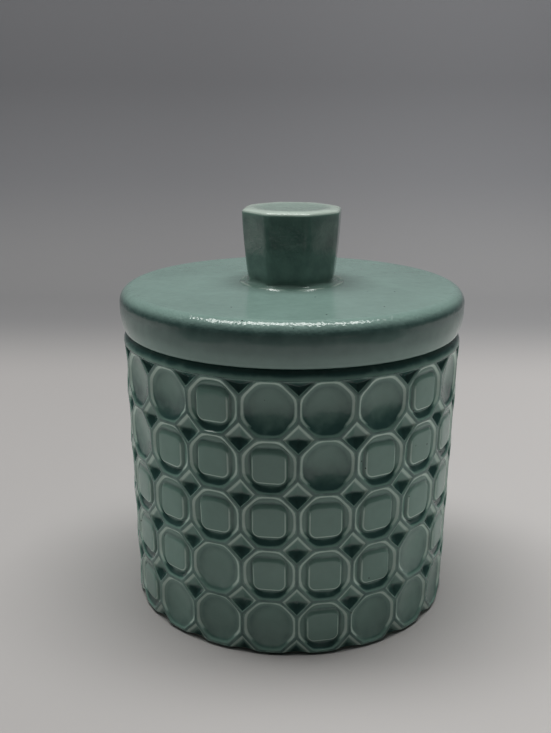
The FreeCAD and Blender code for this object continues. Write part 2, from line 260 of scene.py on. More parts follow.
def on_wall(across, up, depth):
    """Points of the wall from lengths round and up it and a depth under it."""
    side, lift = waver(across, up)
    fade = smooth_step(0, WAVER_FADE, up) * smooth_step(0, WAVER_FADE, ROWS * ROW_PITCH - up)
    height = RELIEF_BASE + up + lift * fade
    return ring_point(wall_radius(height) - depth, wall_angle(across + side * fade), height)


def softened(line, times):
    """The same closed line, rounder: each point moves to (before + 2 point + after) / 4."""
    for _ in range(times):
        line = (np.roll(line, 1, axis=0) + 2 * line + np.roll(line, -1, axis=0)) / 4
    return line


def inset_outline(corners, insets):
    """Corners of an outline whose sides have each moved inwards: each is where two moved sides cross."""
    ahead = np.roll(corners, -1, axis=0) - corners
    inward = np.stack([-ahead[:, 1], ahead[:, 0]], -1) / np.linalg.norm(ahead, axis=1, keepdims=True)
    reach = (corners * inward).sum(1) + insets
    before, reach_before = np.roll(inward, 1, axis=0), np.roll(reach, 1)
    cross = before[:, 0] * inward[:, 1] - before[:, 1] * inward[:, 0]
    x = (reach_before * inward[:, 1] - reach * before[:, 1]) / cross
    y = (before[:, 0] * reach - inward[:, 0] * reach_before) / cross
    return np.stack([x, y], -1)


def along_sides(corners, closed=True):
    """Evenly spaced points along each side of an outline, first corner first."""
    ahead = np.roll(corners, -1, axis=0)
    share = np.arange(SIDE_STEPS)[None, :, None] / SIDE_STEPS
    line = (corners[:, None] * (1 - share) + ahead[:, None] * share).reshape(-1, 2)
    if closed:
        return line
    return np.concatenate([line[:-SIDE_STEPS], corners[-1:]])


def ring_of(line, depth, glaze):
    """One ring of a cell from its outline: x, y, depth and glaze of each point."""
    return np.column_stack([line, np.broadcast_to(depth, len(line)), np.broadcast_to(glaze, len(line))])


def cell(rings, middle, closed=True):
    """Points and faces of a cell: its rings one inside the other, and a point in the middle."""
    around = len(rings[0])
    points = np.concatenate([*rings, [middle]])
    tip = len(points) - 1
    faces = [strip_faces(len(rings), around, closed), fan_faces(tip - around, around, tip, closed)]
    return points, faces


def bevel_glaze(line, glaze, half, way):
    """Glaze on a bevel: thin glaze is multiplied by the sum of share x step(way x y / half)."""
    place = way * line[:, 1] / half
    run_off = sum(share * smooth_step(start, end, place) for share, start, end in RUN_OFF)
    return np.where(glaze < 0, glaze * run_off, glaze)


def octagon_rings():
    """The ridge and bevel rings of an octagon, from the middle of the ridge inwards, ever rounder."""
    rings = []
    for step, (inset, depth, glaze) in enumerate(RIDGE_RINGS):
        line = softened(along_sides(inset_outline(OCTAGON, inset)), step // 2)
        rings.append(ring_of(line, depth, bevel_glaze(line, glaze, HALF_Y, 1)))
    return rings


# Pad: half its width and height, its corners' radius and how deep its top lies
PAD_HALF_X, PAD_HALF_Y, PAD_ROUND = 4.72, 4.78, 2.2
PAD_TOP_DEPTH = 0.32
# One is a flat top, zero a top that follows the wall
PAD_FLATNESS = 0.8
# The groove is deepest this far outside the pad. Its rings: share of the way there, depth and glaze.
GROOVE_REACH = 0.62
GROOVE_RINGS = ((0.35, 0.84, 0.0), (0.7, 1.02, 0.3), (1.0, 1.12, 0.5))
# The pad's rings from the groove up: growth of its outline, depth, glaze, and sag of its upper edge
PAD_RINGS = ((0.42, 1.06, 0.5, 0.01), (0.16, 0.72, 0.2, 0.04), (-0.06, 0.47, -0.7, 0.09),
             (-0.28, 0.36, -1.0, 0.14))
PAD_TOP_GROWTH, PAD_TOP_SAG, PAD_TOP_SHARES = -0.52, 0.19, (1.0, 0.55)
# Glaze fills the groove above the pad by this much, between two shares of the pad's half height, wherever
# the groove is deeper than this
GROOVE_FILL, FILL_START, FILL_END, FILL_BELOW = 0.3, 0.55, 0.95, 0.8


def pad_outline(growth):
    """A square with round corners and as many points as an octagon: straight sides, then quarter circles."""
    flat_x, flat_y = PAD_HALF_X - PAD_ROUND, PAD_HALF_Y - PAD_ROUND
    reach = PAD_ROUND + growth
    bend = np.arange(SIDE_STEPS) / SIDE_STEPS
    turn = np.arange(4)[:, None] * math.pi / 2
    middle_x = flat_x * np.array([1, -1, -1, 1])[:, None]
    middle_y = flat_y * np.array([1, 1, -1, -1])[:, None]
    side_x = middle_x + reach * np.cos(turn) + 2 * flat_x * np.sin(turn) * (1 - bend)
    side_y = middle_y + reach * np.sin(turn) - 2 * flat_y * np.cos(turn) * (1 - bend)
    arc = turn + bend * math.pi / 2
    arcs = np.stack([middle_x + reach * np.cos(arc), middle_y + reach * np.sin(arc)], -1)
    return np.stack([np.stack([side_x, side_y], -1), arcs], 1).reshape(-1, 2)


def pad_cell():
    """An octagon with a V groove round a raised square pad, its top almost flat, just under the ridges.

    The top's depth is its middle's depth - flatness x^2 / (2 R), with R the wall's radius.
    """
    rings = octagon_rings()
    bevel, bottom = rings[-1][:, :2], pad_outline(GROOVE_REACH)

    def filled(line, depth, sag):
        """The line and its depth with glaze above the pad: a shallower groove, and an edge that slopes."""
        above = smooth_step(FILL_START, FILL_END, line[:, 1] / PAD_HALF_Y)
        level = depth - GROOVE_FILL * above * (depth > FILL_BELOW)
        return np.column_stack([line[:, 0], line[:, 1] * (1 - sag * above)]), level

    for share, depth, glaze in GROOVE_RINGS:
        line, level = filled(bevel * (1 - share) + bottom * share, depth, 0.0)
        rings.append(ring_of(line, level, glaze))
    for growth, depth, glaze, sag in PAD_RINGS:
        line, level = filled(pad_outline(growth), depth, sag)
        rings.append(ring_of(line, level, bevel_glaze(line, glaze, PAD_HALF_Y, -1)))
    top, _ = filled(pad_outline(PAD_TOP_GROWTH), 0.0, PAD_TOP_SAG)
    for share in PAD_TOP_SHARES:
        line = top * share
        rings.append(ring_of(line, PAD_TOP_DEPTH - PAD_FLATNESS * line[:, 0] ** 2 / (2 * RIM_RADIUS), 0.0))
    return cell(rings, (0, 0, PAD_TOP_DEPTH, 0.0))


# Dish: inset and depth of its rim, depth of its middle, and its rings: share of its radius and glaze
DISH_INSET, DISH_EDGE, DISH_DEPTH = 1.35, 0.74, 1.7
DISH_RINGS = ((0.87, 0.42), (0.72, 0.28), (0.52, 0.1), (0.28, 0.05))
DISH_MIDDLE_GLAZE = 0.05
# One ring lies between the bevel and the bowl: the shares of their outlines in it, with the bowl's made a
# little smaller, how much deeper than the rim it lies, and its glaze
BEVEL_SHARE, BOWL_SHARE, BOWL_SIZE = 0.45, 0.55, 0.97
DISH_RIM_DROP, DISH_RIM_GLAZE = 0.08, 0.2


def dish_cell():
    """An octagon whose outline turns into a round bowl, depth = edge + (deep - edge) (1 - r^2 / R^2)."""
    rings = octagon_rings()
    bevel = rings[-1][:, :2]
    angle = np.arctan2(bevel[:, 1], bevel[:, 0])
    bowl = np.stack([(HALF_X - DISH_INSET) * np.cos(angle), (HALF_Y - DISH_INSET) * np.sin(angle)], -1)
    rim = bevel * BEVEL_SHARE + bowl * BOWL_SHARE * BOWL_SIZE
    rings.append(ring_of(rim, DISH_EDGE + DISH_RIM_DROP, DISH_RIM_GLAZE))
    for share, glaze in DISH_RINGS:
        depth = DISH_EDGE + (DISH_DEPTH - DISH_EDGE) * (1 - share * share)
        rings.append(ring_of(bowl * share, depth, glaze))
    return cell(rings, (0, 0, DISH_DEPTH, DISH_MIDDLE_GLAZE))


# Darker low in a cell, partly glaze that has run down and pooled and partly painted shade: how far under a
# cell's middle it starts and is fullest, and how dark
PAD_POOL, HIGH_DISH_POOL, LOW_DISH_POOL = (4.6, 6.6, 1.0), (-4.5, 10.2, 1.0), (-1.0, 8.0, 0.5)
# It reaches higher at the sides, grows between these depths, and leaves glaze thinner than this value
POOL_SAG, POOL_DEPTHS, POOL_CLEAR = 0.06, (0.25, 0.5), -0.5


def pooled_and_shaded_low(template, start, end, dark):
    """The same cell darker low in it, partly pooled glaze and partly painted shade: dark x step(-y + sag
    x^2), in a crescent along its rim.
    """
    points, faces = template
    points = points.copy()
    lean = -points[:, 1] + POOL_SAG * points[:, 0] ** 2
    low = smooth_step(start, end, lean) * smooth_step(*POOL_DEPTHS, points[:, 2]) * dark
    points[:, 3] = np.where(points[:, 3] > POOL_CLEAR, np.maximum(points[:, 3], low), points[:, 3])
    return points, faces


# Pit: depth of its bottom, how far that lies under the middle, and its rings as shares of the pit's width
PIT_DEPTH, PIT_LOW = 1.8, 0.8
PIT_RINGS = (0.85, 0.5, 0.16)
# How wide the ridges' rings are on each side of a pit, from its right corner round by the top
PIT_WIDTHS = (1, 1, 0.6, 0.6)
# Dark glaze, partly pooled and partly painted shade, grows between these heights on the ridges and inside,
# between these depths, and from the left and right corners inwards between these lengths off the middle
RIDGE_DARK, PIT_DARK = (0.3, -1.7), (1.0, -1.0)
DARK_DEPTHS, PIT_CORNERS = (0.04, 0.4), (3.8, 2.2)
PIT_GLAZE, PIT_BOTTOM_GLAZE = 1.2, 0.9
# What is darker than the first value keeps this share of the rest, in the upper and in the lower rows
PIT_PALE_FROM, HIGH_PIT_SHARE, LOW_PIT_SHARE = 0.45, 1.0, 0.6
# Top pit, the lower half of one: the same, with the pit painted dark all over as shade under the lid's edge,
# and its ridges' painted
# shade: value on top, gain with depth, and what thin glaze loses between two lengths under the top line
TOP_PIT_DEPTH, TOP_PIT_LOW, TOP_PIT_RINGS, TOP_PIT_SHADE = 1.5, 1.8, (0.8, 0.4), 1.1
TOP_PIT_WIDTHS = (0.8, 0.7, 0.7)
TOP_RIDGE_SHADE, TOP_RIDGE_GAIN, TOP_RIDGE_LOSS, LOSS_LENGTHS = 0.4, 0.8, 1.3, (1.0, 2.6)
# Notch: depth of its valley, and its rings: share of its width and glaze
NOTCH_DEPTH = 1.7
NOTCH_RINGS = ((0.55, 0.5), (0.18, 0.9))
NOTCH_BOTTOM_GLAZE = 1.0


def off_corners(line):
    """One over the middle of a pit, zero at its left and right corners."""
    return smooth_step(*PIT_CORNERS, np.abs(line[:, 0]))


def pit_rings(corners, widths):
    """The ridge and bevel rings of a pit, as wide as given on each side, with dark glaze, partly pooled and
    partly painted shade, on its low sides.
    """
    rings = []
    for inset, depth, glaze in RIDGE_RINGS:
        line = along_sides(inset_outline(corners, inset * np.array(widths)))
        low = smooth_step(*RIDGE_DARK, line[:, 1]) * smooth_step(*DARK_DEPTHS, depth) * off_corners(line)
        rings.append(ring_of(line, depth, glaze * (1 - low) + low))
    return rings


def pit_cell(dark_share):
    """A pit with flat sloping faces down to a small flat bottom, dark in its lower half with glaze that is
    partly pooled and partly painted shade.
    """
    rings = pit_rings(DIAMOND, PIT_WIDTHS)
    middle = np.array([0.0, -PIT_LOW])
    edge = rings[-1]
    for share in PIT_RINGS:
        line = middle + (edge[:, :2] - middle) * share
        depth = edge[0, 2] + (PIT_DEPTH - edge[0, 2]) * (1 - share) / (1 - PIT_RINGS[-1])
        lower = smooth_step(*PIT_DARK, line[:, 1] + PIT_LOW) * off_corners(line)
        rings.append(ring_of(line, depth, PIT_GLAZE * lower))
    points, faces = cell(rings, (*middle, PIT_DEPTH, PIT_BOTTOM_GLAZE))
    paler = PIT_PALE_FROM + (points[:, 3] - PIT_PALE_FROM) * dark_share
    points[:, 3] = np.where(points[:, 3] > PIT_PALE_FROM, paler, points[:, 3])
    return points, faces


def top_pit_cell():
    """The lower half of a pit under the plain band: three flat faces that meet in one point.

    Its ridges are painted with the shade under the lid's edge: at least value + gain x depth, less loss x
    step(-y) where the glaze runs thin.
    """
    rings = pit_rings(LOWER_HALF_DIAMOND, TOP_PIT_WIDTHS)
    for ring in rings:
        loss = TOP_RIDGE_LOSS * smooth_step(*LOSS_LENGTHS, -ring[:, 1]) * (ring[:, 3] < 0)
        ring[:, 3] = np.maximum(ring[:, 3], TOP_RIDGE_SHADE + TOP_RIDGE_GAIN * ring[:, 2] - loss)
    middle = np.array([0.0, -TOP_PIT_LOW])
    edge = rings[-1]
    for share in TOP_PIT_RINGS:
        line = middle + (edge[:, :2] - middle) * share
        depth = edge[0, 2] + (TOP_PIT_DEPTH - edge[0, 2]) * (1 - share)
        rings.append(ring_of(line, depth, TOP_PIT_SHADE))
    return cell(rings, (*middle, TOP_PIT_DEPTH, TOP_PIT_SHADE))


def notch_cell():
    """The upper half of a pit, open at the base line: two flat faces that meet in a valley."""
    rings = []
    for inset, depth, glaze in RIDGE_RINGS:
        corners = inset_outline(DIAMOND, inset)[:3]
        rings.append(ring_of(along_sides(corners, closed=False), depth, glaze))
    edge = rings[-1]
    last_share = NOTCH_RINGS[-1][0]
    for share, glaze in NOTCH_RINGS:
        depth = edge[0, 2] + (NOTCH_DEPTH - edge[0, 2]) * (1 - share) / (1 - last_share)
        rings.append(ring_of(edge[:, :2] * share, depth, glaze))
    return cell(rings, (0, 0, NOTCH_DEPTH, NOTCH_BOTTOM_GLAZE), closed=False)


def copies(template, places, uneven=0.0):
    """The same cell at several places of the wall, each one a little off the middle and uneven.

    Its depth changes by a + (b x + c y) / half a cell, with a, b and c drawn for each copy.
    """
    points, faces = template
    places = np.array(places, float)
    change = rng.normal(0, uneven, (len(places), 3))
    shift = rng.normal(0, SHIFT if uneven else 0, (2, len(places), 1))
    shift = shift * smooth_step(*SHIFT_DEPTHS, points[:, 2])
    x = points[:, 0] + places[:, :1] * COLUMN_PITCH + shift[0]
    y = points[:, 1] + places[:, 1:] * ROW_PITCH + shift[1]
    askew = change[:, :1] + (change[:, 1:2] * points[:, 0] + change[:, 2:] * points[:, 1]) / HALF_X
    wall = on_wall(x, y, points[:, 2] + askew * smooth_step(*TILT_DEPTHS, points[:, 2]))
    steps = np.arange(len(places))[:, None, None] * len(points)
    faces = [(array + steps).reshape(-1, array.shape[1]) for array in faces]
    return wall, faces, {"glaze_and_painted_shade": points[:, 3]}


def all_columns(one):
    """Lengths round the jar of one column's points, measured from its middle, repeated in every column."""
    return (one + (np.arange(COLUMNS)[:, None] + 0.5) * COLUMN_PITCH).reshape(-1)


def top_line():
    """Lengths round the jar of the points on the relief's top line: an octagon's side, then a pit's."""
    flat = along_sides(OCTAGON[[3, 2]], closed=False)[:-1, 0]
    gap = along_sides(LOWER_HALF_DIAMOND[[1, 0]], closed=False)[:-1, 0] + HALF_X
    return all_columns(np.concatenate([flat, gap]))


def base_line(notch):
    """Lengths round the jar, depths and glaze on the base line: an octagon's side, then across a notch."""
    flat = along_sides(OCTAGON[[6, 7]], closed=False)[:-1, 0]
    points, _ = notch
    rings = points[:-1].reshape(-1, 2 * SIDE_STEPS + 1, 4)
    left, right, tip = rings[:, -1], rings[:, 0], points[-1:]
    gap = np.concatenate([left, tip, right[:0:-1]])
    across = all_columns(np.concatenate([flat, gap[:, 0] + HALF_X]))
    depth = np.concatenate([np.zeros(len(flat)), gap[:, 2]])
    glaze = np.concatenate([np.zeros(len(flat)), gap[:, 3]])
    return across, np.tile(depth, COLUMNS), np.tile(glaze, COLUMNS)


# Glaze on the plain band, and painted shade under the lid's edge: the share of the mouth's rounding that is
# left where the shade is darkest
BAND_GLAZE, MOUTH_SHADE_SHARE = 0.1, 0.35


def band_part(across):
    """The plain band, the rounded mouth, the inner wall and the floor, carried round from the top line."""
    inner_radius = RIM_RADIUS - WALL
    line = rounded_outline(
        [(wall_radius(JAR_TOP - PLAIN_BAND), JAR_TOP - PLAIN_BAND), (RIM_RADIUS, JAR_TOP),
         (inner_radius, JAR_TOP), (inner_radius - BASE_INSET, FLOOR), (0, FLOOR)],
        [MOUTH_ROUND, MOUTH_INNER_ROUND, FLOOR_ROUND], MOUTH_STEPS)
    line = divided(line, LONGEST_FACE)
    points = ring_point(line[:, :1], wall_angle(across), line[:, 1:])
    # Painted shade under the lid's overhang, full over the top of the mouth's rounding, inside and out
    dark = smooth_step(JAR_TOP - MOUTH_ROUND, JAR_TOP - MOUTH_SHADE_SHARE * MOUTH_ROUND, line[:, 1])
    glaze = BAND_GLAZE + (1 - BAND_GLAZE) * dark
    return points, [strip_faces(len(line), len(across))], {"glaze_and_painted_shade": glaze[:, None]}


# Rings from the base line down the foot's chamfer: share of the way out to the wall, share of the height
CHAMFER_RINGS = np.array([(1.0, 1.0), (0.97, 0.80), (0.80, 0.50), (0.42, 0.22), (0.10, 0.04), (0.0, 0.0)])


def foot_part(across, depth, glaze):
    """From the base line over the foot: notches fade on the chamfer, radius = foot + (wall - foot) g."""
    angle = wall_angle(across)
    foot_radius = wall_radius(FOOT_RISE) - FOOT_SETBACK
    start = wall_radius(RELIEF_BASE) - depth
    keep, rise = CHAMFER_RINGS[:, :1], CHAMFER_RINGS[:, 1:]
    chamfer = ring_point(foot_radius + (start - foot_radius) * keep, angle, rise * RELIEF_BASE)
    inner = foot_radius - FOOT_WIDTH
    ring = rounded_outline([(foot_radius, 0), (inner, 0), (inner, FOOT_RECESS), (0, FOOT_RECESS)],
                           [FOOT_ROUND, RECESS_ROUND], FOOT_STEPS)
    ring = divided(ring, LONGEST_FACE)[1:]
    under = ring_point(ring[:, :1], angle, ring[:, 1:])
    points = np.concatenate([chamfer, under])[::-1]
    # The flat that it stands on is unglazed: two rings on each side of the chamfer's end
    bare = np.zeros((len(points), 1))
    bare[len(under) - 2:len(under) + 2] = 1.0
    flow = np.concatenate([glaze * keep, np.zeros((len(under), len(across)))])[::-1]
    return points, [strip_faces(len(points), len(across))], {"glaze_and_painted_shade": flow, "bare_clay": bare}


def jar_parts():
    """The jar's cells, the plain band with the mouth and the inside, and the foot, meeting point to point."""
    pads, high_dishes, low_dishes = [], [], []
    for column in range(COLUMNS):
        for row, mark in enumerate(COLUMN_PATTERN[column % len(COLUMN_PATTERN)]):
            kind = pads if mark == "P" else high_dishes if row < HIGH_ROWS else low_dishes
            kind.append((column + 0.5, ROWS - row - 0.5))
    columns = range(COLUMNS)
    pad, dish, notch = pad_cell(), dish_cell(), notch_cell()
    return [
        copies(pooled_and_shaded_low(pad, *PAD_POOL), pads, UNEVEN),
        copies(pooled_and_shaded_low(dish, *HIGH_DISH_POOL), high_dishes, UNEVEN),
        copies(pooled_and_shaded_low(dish, *LOW_DISH_POOL), low_dishes, UNEVEN),
        copies(pit_cell(HIGH_PIT_SHARE), [(column, line) for column in columns for line in HIGH_PIT_LINES]),
        copies(pit_cell(LOW_PIT_SHARE), [(column, line) for column in columns for line in LOW_PIT_LINES]),
        copies(top_pit_cell(), [(column, ROWS) for column in columns]),
        copies(notch, [(column, 0) for column in columns]),
        band_part(top_line()),
        foot_part(*base_line(notch)),
    ]


# Lid

LID_SEAT = JAR_TOP
LID_CROWN = 0.7
LID_TOP_ROUND, LID_EDGE_ROUND = 4.0, 1.0
LID_LEAN, LID_LEAN_HEIGHT, LID_SIDE_POINTS = 1.5, 7.0, 8
# The ring that drops into the mouth: its gap there, width and depth, and the hollow's height inside it
MOUTH_GAP, RING_WIDTH, RING_DEPTH, HOLLOW_HEIGHT = 0.6, 4.5, 6.0, 6.2
HOLLOW_ROUND, RING_ROUND, SEAT_ROUND = 2.5, 1.2, 0.3
RING_OUTER = RIM_RADIUS - WALL - MOUTH_GAP
RING_INNER = RING_OUTER - RING_WIDTH
# Where the top turns level under the knob
KNOB_SEAT = 15.8
LID_AROUND, LID_ROUND_STEPS, LID_LONGEST_FACE = 240, 10, 3.0
# Painted reflection on the lid's side: the glaze is made thin and a little paler on its lower edge and darker
# up its side: heights over the seat, and glaze
LID_SIDE_SHADE_HEIGHTS = (0.0, 0.8, 2.0, 4.4, 6.6, 8.4, 10.0, 11.2, 11.8)
LID_SIDE_SHADE = (-0.1, -0.3, 0.1, 0.38, 0.45, 0.62, 0.7, 0.3, 0.0)
# It does so only outside a circle this much smaller than the foot of the side
LID_SIDE_SHADE_INSET = 1
# The ring's end is bare clay between these heights over it
BARE_HEIGHTS = (1.5, 0.8)
# The skin ripples on the rounded top edge, between these lengths in from the side and heights over the seat
RIPPLE_INSETS, RIPPLE_HEIGHTS = (4.5, 3.0), (8.5, 10.0)


def lid_parts():
    """The lid's outline from its hollow out over the ring, up the side and over the slightly crowned top.

    The side curves out from its lower edge: radius = widest - lean (1 - s)^2, with s the share of height.
    """
    share = np.linspace(0, 1, LID_SIDE_POINTS)
    side = np.stack([LID_RADIUS - LID_LEAN * (1 - share) ** 2, LID_SEAT + LID_LEAN_HEIGHT * share], -1)
    hollow_top, ring_end = LID_SEAT + HOLLOW_HEIGHT, LID_SEAT - RING_DEPTH
    line = rounded_outline(
        [(0, hollow_top), (RING_INNER, hollow_top), (RING_INNER, ring_end), (RING_OUTER, ring_end),
         (RING_OUTER, LID_SEAT), *side, (LID_RADIUS, LID_TOP - LID_CROWN), (KNOB_SEAT, LID_TOP),
         (0, LID_TOP)],
        [HOLLOW_ROUND, RING_ROUND, RING_ROUND, SEAT_ROUND, LID_EDGE_ROUND, *np.zeros(LID_SIDE_POINTS - 1),
         LID_TOP_ROUND, 0.0], LID_ROUND_STEPS)
    line = divided(line, LID_LONGEST_FACE)
    radius, height = line[:, :1], line[:, 1:]
    angle = np.arange(LID_AROUND) / LID_AROUND * FULL_TURN
    points = ring_point(radius, angle, height)
    bare_start, bare_end = BARE_HEIGHTS
    bare = smooth_step(ring_end + bare_start, ring_end + bare_end, height)
    outside = radius > LID_RADIUS - LID_LEAN - LID_SIDE_SHADE_INSET
    # Painted reflection on the side: darker up it, a little paler at its lower edge
    glaze = np.interp(height - LID_SEAT, LID_SIDE_SHADE_HEIGHTS, LID_SIDE_SHADE) * outside
    ripple_start, ripple_end = RIPPLE_INSETS
    ripple = smooth_step(LID_RADIUS - ripple_start, LID_RADIUS - ripple_end, radius)
    ripple = ripple * smooth_step(*RIPPLE_HEIGHTS, height - LID_SEAT)
    values = {"bare_clay": bare, "glaze_and_painted_shade": glaze, "skin_ripple": ripple}
    return [(points, [strip_faces(len(line), LID_AROUND)], values)]


# Knob

EIGHTH = FULL_TURN / 8
# How many faces lie along each round corner and each straight run of the knob's outline
KNOB_LINE_STEPS = 8
KNOB_TURN = math.radians(16.0)
KNOB_FOOT_RADIUS, KNOB_TOP_RADIUS = 13.5, 15.5
# The rounding of its upright edges, at most this share of the radius
KNOB_EDGE_ROUND, KNOB_EDGE_LIMIT = 4.2, 0.4
# Share of a circle in the knob's outline, which gives its flat sides a slight swell, and that circle's size
KNOB_SWELL, SWELL_REACH = 0.2, 0.97
# The top edge slopes down a little, then turns sharply into the side
KNOB_RIM_ROUND, KNOB_RIM_DROP, KNOB_RIM_TURN = 1.2, 0.2, 0.45 * math.pi
KNOB_RIM_WIDTH = 3.3
# Height of the runs of slip left round the knob's foot
SLIP_BEAD = 0.4
# Rings under the foot and round it: radius, height over the lid, share of a circle and share of the slip
KNOB_FOOT_RINGS = (
    (0.4, -0.30, 1.0, 0.0),
    (8.0, -0.30, 1.0, 0.0),
    (16.2, -0.30, 1.0, 0.0),
    (17.3, -0.10, 1.0, 0.0),
    (17.1, -0.03, 1.0, 0.05),
    (16.75, 0.02, 1.0, 0.95),
    (16.35, 0.04, 1.0, 1.1),
    (15.5, 0.10, 0.9, 0.6),
    (14.6, 0.30, 0.7, 0.2),
    (14.0, 0.60, 0.45, 0.0),
    (13.7, 1.0, 0.25, 0.0),
    (13.5, 1.4, 0.08, 0.0),
    (13.5, 1.8, 0.0, 0.0),
)
KNOB_SIDE_START, KNOB_SIDE_RINGS, KNOB_FLARE, KNOB_RIM_STEPS = 2.6, 16, 1.5, 8
# Rings of the level lip on top: inset, drop and share of a circle
KNOB_LIP_RINGS = ((1.7, 0.05, 0.2), (2.6, 0.0, 0.5))
# Hollow of the top: its depth, and its rings as shares of its radius
KNOB_HOLLOW, KNOB_HOLLOW_RINGS = 0.45, (1.0, 0.92, 0.75, 0.5, 0.25)
# Darker glaze on the side as painted shade, and how much thinner the glaze is on the rim, again at its outer
# edge, and on the slip
KNOB_SIDE_SHADE, KNOB_RIM_GLAZE, SLIP_GLAZE = 0.4, 0.45, 0.5
# Where it changes: heights over the lid on the side, drops from the top on the rim, lengths from the
# hollow's edge, and heights and radii of the slip
SIDE_SHADE_HEIGHTS, RIM_DROPS, OUTER_RIM_REACH = (1.2, 2.0), (1.6, 0.5), (-3.0, 0.6)
SLIP_BOTTOM, SLIP_TOP, SLIP_RADII = (0.1, 0.3), (0.6, 0.5), (14.2, 14.8)


def octagon_line(radius, corner_round):
    """A regular octagon with round corners, eight arcs and the straight runs between them."""
    reach = radius - corner_round / math.cos(EIGHTH / 2)
    corner = KNOB_TURN + np.arange(8)[:, None] * EIGHTH
    bend = corner + np.linspace(-EIGHTH / 2, EIGHTH / 2, KNOB_LINE_STEPS + 1)
    arcs = np.stack([reach * np.cos(corner) + corner_round * np.cos(bend),
                     reach * np.sin(corner) + corner_round * np.sin(bend)], -1)
    share = (np.arange(1, KNOB_LINE_STEPS) / KNOB_LINE_STEPS)[None, :, None]
    runs = arcs[:, -1:] * (1 - share) + np.roll(arcs, -1, axis=0)[:, :1] * share
    return np.concatenate([arcs, runs], 1).reshape(-1, 2)


def knob_ring(radius, level, round_share=0.0, slip=0.0):
    """A ring of the knob, an octagon mixed with a circle. Slip on it rises as |sin 4 a| over the angle a."""
    line = octagon_line(radius, min(KNOB_EDGE_ROUND, radius * KNOB_EDGE_LIMIT))
    angle = np.arctan2(line[:, 1], line[:, 0])
    way = np.stack([np.cos(angle), np.sin(angle)], -1)
    line = line * (1 - KNOB_SWELL) + radius * SWELL_REACH * way * KNOB_SWELL
    line = line * (1 - round_share) + radius * math.cos(EIGHTH / 2) * way * round_share
    return np.column_stack([line, LID_TOP + level + slip * SLIP_BEAD * np.abs(np.sin(4 * angle))])


def knob_parts():
    """The knob's rings from under its foot up its side, over the rim and into the hollow of its top.

    The side's radius is foot + (top - foot) (1 - (1 - s)^1.5), with s the height as a share of the knob's.
    The rim turns as a circle, and the hollow sinks as 1 - r^2 / R^2.
    """
    height = KNOB_TOP - LID_TOP
    hollow = KNOB_TOP_RADIUS - KNOB_RIM_WIDTH
    rings = [knob_ring(*ring) for ring in KNOB_FOOT_RINGS]
    turn_level = height - KNOB_RIM_DROP - KNOB_RIM_ROUND
    for level in np.linspace(KNOB_SIDE_START, turn_level, KNOB_SIDE_RINGS):
        flare = 1 - (1 - level / height) ** KNOB_FLARE
        rings.append(knob_ring(KNOB_FOOT_RADIUS + (KNOB_TOP_RADIUS - KNOB_FOOT_RADIUS) * flare, level))
    for bend in np.linspace(0, KNOB_RIM_TURN, KNOB_RIM_STEPS)[1:]:
        rings.append(knob_ring(KNOB_TOP_RADIUS - KNOB_RIM_ROUND * (1 - math.cos(bend)),
                               turn_level + KNOB_RIM_ROUND * math.sin(bend)))
    for inset, drop, round_share in KNOB_LIP_RINGS:
        rings.append(knob_ring(KNOB_TOP_RADIUS - inset, height - drop, round_share))
    for share in KNOB_HOLLOW_RINGS:
        rings.append(knob_ring(hollow * share, height - KNOB_HOLLOW * (1 - share * share), 1.0))
    points = np.array(rings)
    around = points.shape[1]
    points = np.concatenate([points.reshape(-1, 3), [(0, 0, LID_TOP), (0, 0, KNOB_TOP - KNOB_HOLLOW)]])
    last = (len(rings) - 1) * around
    top, bottom = len(points) - 1, len(points) - 2
    faces = [strip_faces(len(rings), around), fan_faces(last, around, top),
             fan_faces(0, around, bottom)[:, ::-1]]
    return [(points, faces, {"glaze_and_painted_shade": knob_glaze_and_painted_shade(points, height, hollow)})]


def knob_glaze_and_painted_shade(points, height, hollow):
    """Glaze on the knob: darker up the side as painted shade, thin on the rim and thinnest at its outer edge,
    thin on slip.
    """
    level = points[:, 2] - LID_TOP
    reach = np.hypot(points[:, 0], points[:, 1])
    side = smooth_step(*SIDE_SHADE_HEIGHTS, level)
    rim = smooth_step(*RIM_DROPS, height - level)
    outer_rim = smooth_step(*OUTER_RIM_REACH, reach - hollow)
    slip = smooth_step(*SLIP_BOTTOM, level) * smooth_step(*SLIP_TOP, level) * smooth_step(*SLIP_RADII, reach)
    return KNOB_SIDE_SHADE * side * (1 - rim) - KNOB_RIM_GLAZE * rim * (1 + outer_rim) - SLIP_GLAZE * slip


# Materials

def linear(colour):
    """sRGB hex to linear values: c / 12.92 up to 0.04045, above it ((c + 0.055) / 1.055) ^ 2.4."""
    channels = np.array([int(colour[start:start + 2], 16) for start in (1, 3, 5)]) / 255
    straight = np.where(channels <= 0.04045, channels / 12.92, ((channels + 0.055) / 1.055) ** 2.4)
    return (*straight.tolist(), 1.0)


def add_node(tree, kind, settings=(), **inputs):
    """Adds a node with its settings. An input is a value or a node's output; in3 is input number 3."""
    node = tree.nodes.new(kind)
    for name, value in dict(settings).items():
        setattr(node, name, value)
    for name, value in inputs.items():
        number = name.removeprefix("in")
        socket = node.inputs[int(number)] if number.isdigit() else node.inputs[name.replace("_", " ")]
        if isinstance(value, bpy.types.NodeSocket):
            tree.links.new(value, socket)
        else:
            socket.default_value = value
    return node


def new_material(name):
    """A material without nodes yet, and its node tree."""
    material = bpy.data.materials.new(name)
    material.use_nodes = True
    material.node_tree.nodes.clear()
    return material, material.node_tree


def per_mm(length):
    """A texture scale that repeats once in this many millimetres, on coordinates in metres."""
    return 1 / (length * MM)


MULTIPLY, SCALE = {"operation": "MULTIPLY"}, {"operation": "SCALE"}
COLOURS, SMOOTH = {"data_type": "RGBA"}, {"interpolation_type": "SMOOTHSTEP"}
# The part of its range that noise really fills
NOISE = {"From_Min": 0.3, "From_Max": 0.7}
ZERO_TO_ONE = {"To_Min": 0.0, "To_Max": 1.0}
